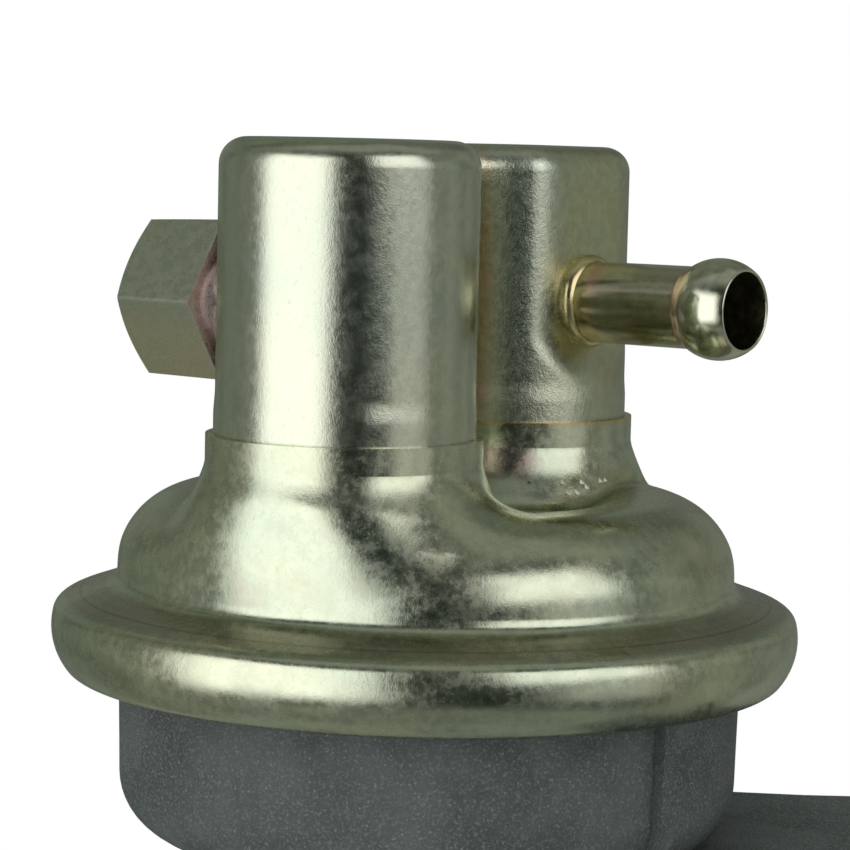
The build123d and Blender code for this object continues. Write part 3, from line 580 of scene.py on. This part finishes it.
def cell_points(value):
    """The mean of each cell's edge crossings, in cells, and the point's number for each cell."""
    shape = tuple(n - 1 for n in value.shape)
    total = np.zeros(shape + (3,))
    count = np.zeros(shape)
    for axis in range(3):
        others = [a for a in range(3) if a != axis]
        for du, dv in ((0, 0), (0, 1), (1, 0), (1, 1)):
            start = [slice(0, n) for n in shape]
            start[others[0]] = slice(du, du + shape[others[0]])
            start[others[1]] = slice(dv, dv + shape[others[1]])
            end = list(start)
            end[axis] = slice(1, shape[axis] + 1)
            a, b = value[tuple(start)], value[tuple(end)]
            cross = (a < 0) != (b < 0)
            total[..., axis] += np.where(cross, a / np.where(cross, a - b, 1.0), 0.0)
            total[..., others[0]] += cross * du
            total[..., others[1]] += cross * dv
            count += cross
    active = count > 0
    index = np.full(shape, -1)
    index[active] = np.arange(active.sum())
    return np.argwhere(active) + total[active] / count[active][:, None], index


def cell_quads(inside, index):
    """A quad round each grid edge that goes through the level, facing out."""
    shape = index.shape
    quads = []
    for axis in range(3):
        u, v = ((1, 2), (2, 0), (0, 1))[axis]
        inner = [slice(0, n) for n in inside.shape]
        outer = list(inner)
        inner[axis], outer[axis] = slice(0, -1), slice(1, None)
        a, b = inside[tuple(inner)], inside[tuple(outer)]
        for way, found in ((1, a & ~b), (-1, ~a & b)):
            at = np.argwhere(found)
            at = at[(at[:, u] > 0) & (at[:, v] > 0) & (at[:, u] < shape[u]) & (at[:, v] < shape[v])]
            corners = []
            for du, dv in ((0, 0), (1, 0), (1, 1), (0, 1))[::way]:
                cell = at.copy()
                cell[:, u] -= du
                cell[:, v] -= dv
                corners.append(index[tuple(cell.T)])
            quads.append(np.stack(corners, axis=1))
    return np.concatenate(quads)


def settled(field, points, steps):
    """Points moved along the slope onto the field's zero level."""
    for _ in range(steps):
        slope = gradient(field, points)
        size = np.maximum((slope**2).sum(axis=1, keepdims=True), LEAST_SLOPE)
        step = field(*points.T)[:, None] * slope / size
        points = points - np.clip(step, -LONGEST_STEP, LONGEST_STEP)
    return points


def evened(points, quads):
    """Each point moved half way to the mean of its neighbours, so that no quad folds over."""
    total = np.zeros(points.shape)
    count = np.zeros(len(points))
    for corner in range(4):
        for other in (quads[:, corner - 1], quads[:, (corner + 1) % 4]):
            for axis in range(3):
                total[:, axis] += np.bincount(quads[:, corner], points[other, axis], len(points))
            count += np.bincount(quads[:, corner], minlength=len(points))
    return (points + total / np.maximum(count, 1)[:, None]) / 2


# Mesh helpers

def new_mesh(name, points, faces):
    mesh = bpy.data.meshes.new(name)
    mesh.from_pydata(points, [], faces)
    return mesh


def edit(mesh, change):
    bm = bmesh.new()
    bm.from_mesh(mesh)
    change(bm)
    bm.to_mesh(mesh)
    bm.free()


def face_outward(bm):
    bmesh.ops.recalc_face_normals(bm, faces=bm.faces[:])


def place_skin(mesh, node, made):
    """Put a mesh in the pump's body in place of a CAD node."""
    skin = bpy.data.objects.new(mesh.name, mesh)
    scene.collection.objects.link(skin)
    mesh.materials.append(made)
    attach(skin, "body")
    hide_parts(node)


def port_frame(cup, degrees):
    """A cup's axis at the height of the rim's widest circle, in millimetres, with X along its port."""
    turn = Matrix.Rotation(radians(degrees), 4, "Z")
    return Matrix.Translation((*cup, RIM_Z)) @ turn @ Matrix.Scale(MM, 4)


# Cover: one drawn sheet, in millimetres about the diaphragm axis and the rim's widest circle

SHEET = 1.0

# Dome: a flat-topped wall with a shallow dish between the necks
DOME_R = 35.7
DOME_TOP = 15.9
SHOULDER = 9.4
DISH_DEPTH = 1.9
DISH_FROM = 17.0
DISH_TO = 26.0
DISH_BLEND = 1.0
WALL_OUT = 0.25
WALL_BLEND = 1.0
WALL_INTO_FLANGE = 2.0

# Flange and the rim rolled under the casting
FOOT = 5.1
FOOT_BLEND = 1.3
SLOPE = 0.3467
BULGE_R = 7.5
BULGE_X = 35.5
CREASE_BLEND = 0.85
RIM_LOW = -5.2
EDGE_BLEND = 0.65
LIP_R = 37.8
RIM_INSIDE_TOP = 5.6

# Necks: radii at heights from the flared foot to the collar, whose outer side stays on the dome's wall
NECK_HEIGHTS = (2.0, 5.0, 8.0, 11.0, 13.4, 14.8, 16.6, 17.4, 18.4, 20.0, 20.7)
NECK_RADII = (21.4, 19.9, 18.9, 18.15, 17.75, 17.45, 16.75, 16.35, 15.9, 15.3, 15.2)
RADIUS_SPREAD = 0.45
OFF_SPREAD = 0.6
TABLE_STEP = 0.05
TABLE_LOW = -10.0
TABLE_HIGH = 30.0
CUP_OFF = 19.18
CUP_LINE = radians(61.2)
CUP_BORE = 14.42
BORE_LOW = 16.8

# The necks' blend into the dome is tight between them and wide at the front and back
NECK_BLEND = 1.5
NECK_FLOW = 4.0
FLOW_FROM = 13.0
FLOW_TO = 24.0
BLEND_RISE = 8.0
BLEND_LEAST = 0.12

# Collars: plain sleeves above the net's upper end
SLEEVE_Z = 20.6
SLEEVE_MARGIN = 0.01
COLLAR_TOP = 23.5

# The grid's low corner is off the axes, so that no cell is pinched at the saddle between the necks
COVER_LOW = (-44.2, -44.05, -6.2)
COVER_HIGH = (44.0, 44.0, SLEEVE_Z + VOXEL)


def smoothed(values, spread):
    """Values at even heights, evened out with a bell curve of the spread given."""
    reach = int(4 * spread / TABLE_STEP)
    bell = np.exp(-0.5 * (np.arange(-reach, reach + 1) * TABLE_STEP / spread) ** 2)
    return np.convolve(np.pad(values, reach, mode="edge"), bell / bell.sum(), mode="valid")


heights = np.arange(TABLE_LOW, TABLE_HIGH, TABLE_STEP)
neck_radii = np.interp(heights, NECK_HEIGHTS, NECK_RADII)
neck_offs = smoothed(np.minimum(CUP_OFF, DOME_R - neck_radii), OFF_SPREAD)
neck_radii = smoothed(neck_radii, RADIUS_SPREAD)


def dome_field(r, z):
    dome = rounded_corner(r - (DOME_R - SHOULDER), z - (DOME_TOP - SHOULDER), SHOULDER)
    rise = (DISH_DEPTH + DISH_BLEND) * eased(r, DISH_FROM, DISH_TO)
    return soft_max(dome, z - (DOME_TOP - DISH_DEPTH + rise), DISH_BLEND)


def rim_field(r, z):
    """Everything under the sloping flange and inside the bulged roll."""
    slope = (z - FOOT + (r - DOME_R) * SLOPE) / math.hypot(1.0, SLOPE)
    bulge = np.hypot(np.maximum(r - BULGE_X, 0), z) - BULGE_R
    field = soft_max(slope, bulge, CREASE_BLEND)
    field = soft_max(field, RIM_LOW - z, EDGE_BLEND)
    return np.maximum(field, z - RIM_INSIDE_TOP)


def cover_field(x, y, z):
    r = np.hypot(x, y)
    body = dome_field(r, z)
    blend = NECK_BLEND + NECK_FLOW * eased(np.abs(y), FLOW_FROM, FLOW_TO)
    blend = blend * np.clip((z - FOOT) / BLEND_RISE, BLEND_LEAST, 1.0)
    radius = np.interp(z, heights, neck_radii)
    off = np.interp(z, heights, neck_offs)
    bore = FAR
    for side in (-1, 1):
        ux, uy = side * cos(CUP_LINE), side * sin(CUP_LINE)
        body = soft_min(body, np.hypot(x - off * ux, y - off * uy) - radius, blend)
        bore = np.minimum(bore, np.hypot(x - CUP_OFF * ux, y - CUP_OFF * uy) - CUP_BORE)
    body = soft_max(body, r - DOME_R - WALL_OUT, WALL_BLEND)
    body = np.maximum(body, FOOT - WALL_INTO_FLANGE - z)
    full = soft_min(body, rim_field(r, z), FOOT_BLEND)
    shell = np.maximum(full, -(full + SHEET))
    shell = np.maximum(shell, np.where(z < 0, LIP_R - r, -FAR))
    return np.maximum(shell, -np.maximum(bore, BORE_LOW - z))


def collar_sleeves(bm):
    """Cut the necks level and carry both walls of each up to a flat, sharp-edged collar."""
    cut = (0, 0, RIM_Z + SLEEVE_Z * MM)
    everything = bm.verts[:] + bm.edges[:] + bm.faces[:]
    bmesh.ops.bisect_plane(bm, geom=everything, plane_co=cut, plane_no=(0, 0, 1), clear_outer=True)
    open_edges = [edge for edge in bm.edges if edge.is_boundary]
    raised = bmesh.ops.extrude_edge_only(bm, edges=open_edges)["geom"]
    for item in raised:
        if isinstance(item, bmesh.types.BMVert):
            item.co.z = RIM_Z + COLLAR_TOP * MM
    top_edges = [edge for edge in bm.edges if edge.is_boundary]
    for cup in (OUTLET_CUP, INLET_CUP):
        near = [e for e in top_edges if math.dist(e.verts[0].co.xy, cup) < CUP_OFF * MM]
        bmesh.ops.bridge_loops(bm, edges=near)
    face_outward(bm)


def cover_normals(mesh):
    """Exact normals: the field's own below the collars, and plain walls and tops above."""
    vertex = np.empty(len(mesh.loops), int)
    mesh.loops.foreach_get("vertex_index", vertex)
    points = np.empty(len(mesh.vertices) * 3)
    mesh.vertices.foreach_get("co", points)
    points = (points.reshape(-1, 3) - (AXIS_X, 0, RIM_Z)) / MM
    normals = directions(cover_field, points)[vertex]
    for face in mesh.polygons:
        loops = list(face.loop_indices)
        corners = points[vertex[loops]]
        on_collar = corners[:, 2].mean() > SLEEVE_Z + SLEEVE_MARGIN
        if on_collar and abs(face.normal.z) > 0.5:
            normals[loops] = (0, 0, 1)
        elif on_collar:
            side = 1 if corners[0, 1] > 0 else -1
            out = corners[:, :2] - side * CUP_OFF * np.array((cos(CUP_LINE), sin(CUP_LINE)))
            out *= np.sign(out @ np.array(face.normal.xy))[:, None]
            level = out / np.linalg.norm(out, axis=1, keepdims=True)
            normals[loops] = np.pad(level, ((0, 0), (0, 1)))
    mesh.normals_split_custom_set(normals.tolist())


def make_cover():
    points, quads = net(cover_field, COVER_LOW, COVER_HIGH)
    points = points * MM + (AXIS_X, 0, RIM_Z)
    mesh = new_mesh("cover_skin", points.tolist(), quads.tolist())
    edit(mesh, collar_sleeves)
    shade_smooth(mesh)
    cover_normals(mesh)
    place_skin(mesh, "cover", zinc_cover)


# Cups: round walls with a soft step at the foot; on the inlet cup a pressed flat fades into the wall

CUP_R = 14.25
CUP_FOOT_R = 14.4
CUP_FOOT_TOP = 25.6
CUP_WALL_LOW = 28.4
CUP_TOP = 55.7
CUP_CORNER = 3.0
CUP_LOW = 17.8
CUP_SHEET = 1.0
FLAT_X = 11.8
FLAT_FADE_X = CUP_R + 0.8
FLAT_LOW = 26.0
FLAT_HIGH = 34.0
FLAT_BLEND = 1.5
TUBE_HOLE = 4.78
NECK_HOLE = 7.02
CUP_GRID_LOW = (-15.2, -15.2, 17.0)
CUP_GRID_HIGH = (15.2, 15.2, 56.6)


def cup_field(x, y, z, flat_x, hole_r):
    """A cup in its port's frame: its port looks along X."""
    wall = CUP_FOOT_R - (CUP_FOOT_R - CUP_R) * eased(z, CUP_FOOT_TOP, CUP_WALL_LOW)
    side = np.hypot(x, y) - wall
    if flat_x:
        flat = FLAT_FADE_X + (flat_x - FLAT_FADE_X) * eased(z, FLAT_LOW, FLAT_HIGH)
        side = soft_max(side, x - flat, FLAT_BLEND)
    full = rounded_corner(side + CUP_CORNER, z - (CUP_TOP - CUP_CORNER), CUP_CORNER)
    shell = np.maximum(np.maximum(full, -(full + CUP_SHEET)), CUP_LOW - z)
    return np.maximum(shell, -np.maximum(np.hypot(y, z - PORT_UP) - hole_r, -x))


def make_cup(node, cup, degrees, flat_x, hole_r, made):
    def field(x, y, z):
        return cup_field(x, y, z, flat_x, hole_r)

    points, quads = net(field, CUP_GRID_LOW, CUP_GRID_HIGH)
    mesh = new_mesh(node + "_skin", points.tolist(), quads.tolist())
    shade_smooth(mesh)
    turn = np.array(Matrix.Rotation(radians(degrees), 3, "Z"))
    mesh.transform(port_frame(cup, degrees))
    mesh.normals_split_custom_set_from_vertices((directions(field, points) @ turn.T).tolist())
    place_skin(mesh, node, made)


# Inlet tube: a lathe form with a wide, thin-lipped mouth, in millimetres from the cup's axis

TUBE_R = 4.7625
TUBE_IN = 10.0
TUBE_BORE = 3.8625
TUBE_MOUTH = 34.0
MOUTH_R = 4.32
MOUTH_TAPER = 2.0
BORE_TAPER = 4.0
LIP = 0.19
BEAD_X = 30.5
BEAD_R = 5.86
BEAD_FILLET = 1.0
FILLET_STEPS = 8
BEAD_STEPS = 32
LIP_STEPS = 8
TUBE_COUNT = 96
SHARP_DEG = 35


def arc(centre, radius, start, end, steps):
    """The points of an arc after its first one."""
    turns = [start + (end - start) * step / steps for step in range(1, steps + 1)]
    return [(centre[0] + radius * cos(turn), centre[1] + radius * sin(turn)) for turn in turns]


def tube_line():
    """The tube's wall as a closed line of (along, radius) points: outside, lip and bore."""
    centre_r = TUBE_R + BEAD_FILLET
    reach = math.sqrt((BEAD_R + BEAD_FILLET) ** 2 - centre_r**2)
    touch = math.atan2(centre_r, reach)
    lip_x = TUBE_MOUTH - LIP
    end = math.acos((lip_x - BEAD_X) / (BEAD_R - LIP))
    line = [(TUBE_IN, TUBE_BORE), (TUBE_IN, TUBE_R), (BEAD_X - reach, TUBE_R)]
    line += arc((BEAD_X - reach, centre_r), BEAD_FILLET, -math.pi / 2, -touch, FILLET_STEPS)
    line += arc((BEAD_X, 0.0), BEAD_R, math.pi - touch, end, BEAD_STEPS)
    line += arc((lip_x, (BEAD_R - LIP) * sin(end)), LIP, end, -math.pi / 2, LIP_STEPS)
    line += [(TUBE_MOUTH - MOUTH_TAPER, MOUTH_R), (BEAD_X, MOUTH_R), (BEAD_X - BORE_TAPER, TUBE_BORE)]
    return line


def lathe(name, line, frame_at, count):
    """Turn a closed line of (along, radius) points about local X."""
    points = []
    for along, radius in line:
        for step in range(count):
            angle = 2 * math.pi * step / count
            points.append((along, radius * cos(angle), radius * sin(angle)))
    faces = []
    for row in range(len(line)):
        here = row * count
        after = (row + 1) % len(line) * count
        for step in range(count):
            ahead = (step + 1) % count
            faces.append((here + step, after + step, after + ahead, here + ahead))
    mesh = new_mesh(name, points, faces)
    mesh.transform(frame_at)
    edit(mesh, face_outward)
    shade_smooth(mesh)
    mesh.set_sharp_from_angle(angle=radians(SHARP_DEG))
    return mesh


def make_inlet_tube():
    frame_at = port_frame(INLET_CUP, INLET_DEG) @ Matrix.Translation((0, 0, PORT_UP))
    mesh = lathe("inlet_tube_skin", tube_line(), frame_at, TUBE_COUNT)
    place_skin(mesh, "inlet_tube", zinc_tube)


make_cover()
make_cup("inlet_cup", INLET_CUP, INLET_DEG, FLAT_X, TUBE_HOLE, zinc_cup_grainy)
make_cup("outlet_cup", OUTLET_CUP, OUTLET_DEG, None, NECK_HOLE, zinc_cup)
make_inlet_tube()


# Springs and diaphragm: the CAD's own forms, copied into the pump's body in place of the CAD nodes

SOFT = (
    ("return_spring", "rocker_pivot", "spring_steel"),
    ("diaphragm_spring", "rod_slide", "spring_steel"),
    ("diaphragm", "rod_slide", "diaphragm_rubber"),
    ("inlet_valve_spring", "inlet_valve_lift", "spring_steel"),
    ("outlet_valve_spring", "outlet_valve_lift", "spring_steel"),
)


def soften(name, joint_name, slot):
    """Copy a piece's mesh into the pump's body in place of its CAD node, which is hidden."""
    piece = bpy.data.objects.new(name + "_soft", nodes[name].data.copy())
    scene.collection.objects.link(piece)
    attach(piece, "body")
    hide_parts(name)
    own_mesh(piece)


for entry in SOFT:
    soften(*entry)


# Floor, world and lamps

FLOOR_GAP = 0.6 * MM
FLOOR_HALF = 4.0
FLOOR_GREY = (0.90, 0.90, 0.90)
FLOOR_GLOW_NEAR = 0.85
GLOW_FROM = 0.08
GLOW_TO = 0.30
WHITE = (1.0, 1.0, 1.0)
AMBIENT = (0.60, 0.60, 0.60)

# What metal reflects, by degrees right of the camera's side (turn) and above the horizon (lift)
CAMERA_SIDE = (0.026, 0.034, 0.033)
# Soft boxes: left, right, low, high, soft edge, colour
STUDIO_BOXES = (
    (-78.0, -14.0, -26.0, 36.0, 8.0, (1.85, 1.85, 1.93)),
    (24.0, 74.0, 3.0, 44.0, 5.0, (1.55, 1.55, 1.62)),
    (40.0, 76.0, -24.0, 3.0, 6.0, (0.55, 0.55, 0.54)),
)
LAMP_TARGET = Vector((AXIS_X, 0.0, 70.0 * MM))


def seen_plainly(n, rays):
    """1 where the camera looks at a surface, straight or through glass."""
    return n.math("MAXIMUM", rays["Is Camera Ray"], rays["Is Transmission Ray"])


def make_floor():
    """A floor just under the part that looks white to the camera and takes a soft shadow."""
    level = cad_box[0].z - FLOOR_GAP
    corners = [(x * FLOOR_HALF, y * FLOOR_HALF, level) for x, y in ((-1, -1), (1, -1), (1, 1), (-1, 1))]
    mesh = new_mesh("floor", corners, [(0, 1, 2, 3)])
    floor = bpy.data.objects.new("floor", mesh)
    scene.collection.objects.link(floor)
    made, n = material("floor")
    made.cycles.emission_sampling = "NONE"
    rays = n.add("ShaderNodeLightPath").outputs
    diffuse = n.add("ShaderNodeBsdfDiffuse")
    n.set(diffuse.inputs["Color"], FLOOR_GREY)
    glow = n.add("ShaderNodeEmission")
    n.set(glow.inputs["Color"], WHITE)
    blend = n.add("ShaderNodeMixShader")
    away = n.radial(n.place(), (AXIS_X, 0.0))
    share = n.ramp(away, GLOW_FROM, GLOW_TO, FLOOR_GLOW_NEAR, 1.0)
    n.set(blend.inputs[0], n.times(seen_plainly(n, rays), share))
    n.set(blend.inputs[1], diffuse.outputs[0])
    n.set(blend.inputs[2], glow.outputs[0])
    output = n.add("ShaderNodeOutputMaterial")
    n.set(output.inputs["Surface"], blend.outputs[0])
    mesh.materials.append(made)
    floor.visible_glossy = False


def make_world():
    """White for the camera. Metal reflects a studio: soft boxes, a pale backdrop and a dark camera side."""
    world = bpy.data.worlds.new("studio")
    scene.world = world
    world.use_nodes = True
    world.cycles.sampling_method = "NONE"
    n = Nodes(world.node_tree)
    rays = n.add("ShaderNodeLightPath").outputs
    direction = n.add("ShaderNodeTexCoord").outputs["Generated"]
    x, y, z = n.split(direction)
    turn = n.math("DEGREES", n.math("ARCTAN2", x, n.times(y, -1.0)))
    lift = n.math("DEGREES", n.math("ARCSINE", z))
    sideways = n.math("ABSOLUTE", turn)
    studio = CAMERA_SIDE
    for angle, start, full, colour in (
        (sideways, 62.0, 98.0, (0.27, 0.285, 0.255)),
        (lift, 40.0, 70.0, (0.31, 0.325, 0.30)),
        (sideways, 125.0, 155.0, (0.17, 0.185, 0.16)),
        (turn, -90.0, -112.0, (0.165, 0.185, 0.155)),
        (lift, -24.0, -46.0, (0.25, 0.265, 0.24)),
    ):
        studio = n.mix(n.ramp(angle, start, full), studio, colour)
    clutter = n.noise(direction, 3.2, detail=2.0, rough=0.6)
    studio = n.mix(1.0, studio, n.ramp(clutter, 0.36, 0.64, 0.72, 1.25), "MULTIPLY")
    for left, right, low, high, soft, colour in STUDIO_BOXES:
        shape = n.times(n.window(turn, left, right, soft), n.window(lift, low, high, soft))
        studio = n.mix(shape, studio, colour)
    shown = n.mix(rays["Is Glossy Ray"], AMBIENT, studio)
    background = n.add("ShaderNodeBackground")
    n.set(background.inputs["Color"], n.mix(seen_plainly(n, rays), shown, WHITE))
    output = n.add("ShaderNodeOutputWorld")
    n.set(output.inputs["Surface"], background.outputs[0])


def softbox(name, turn, lift, distance, width, height, power):
    """A lamp at an angle left (-) or right (+) of the camera's side, aimed at the pump."""
    data = bpy.data.lights.new(name, "AREA")
    data.shape = "RECTANGLE"
    data.size = width
    data.size_y = height
    data.energy = power
    lamp = bpy.data.objects.new(name, data)
    scene.collection.objects.link(lamp)
    turn, lift = radians(turn), radians(lift)
    way = Vector((sin(turn) * cos(lift), -cos(turn) * cos(lift), sin(lift)))
    lamp.location = LAMP_TARGET + way * distance
    lamp.rotation_euler = way.to_track_quat("Z", "Y").to_euler()
    lamp.visible_camera = False
    lamp.visible_glossy = False


make_floor()
make_world()
softbox("left_box", turn=-50, lift=20, distance=0.75, width=0.70, height=0.8, power=4.5)
softbox("right_box", turn=55, lift=15, distance=0.75, width=0.40, height=0.8, power=2.5)
softbox("top_box", turn=0, lift=80, distance=0.9, width=0.8, height=0.8, power=3.5)

scene.view_settings.view_transform = "Standard"
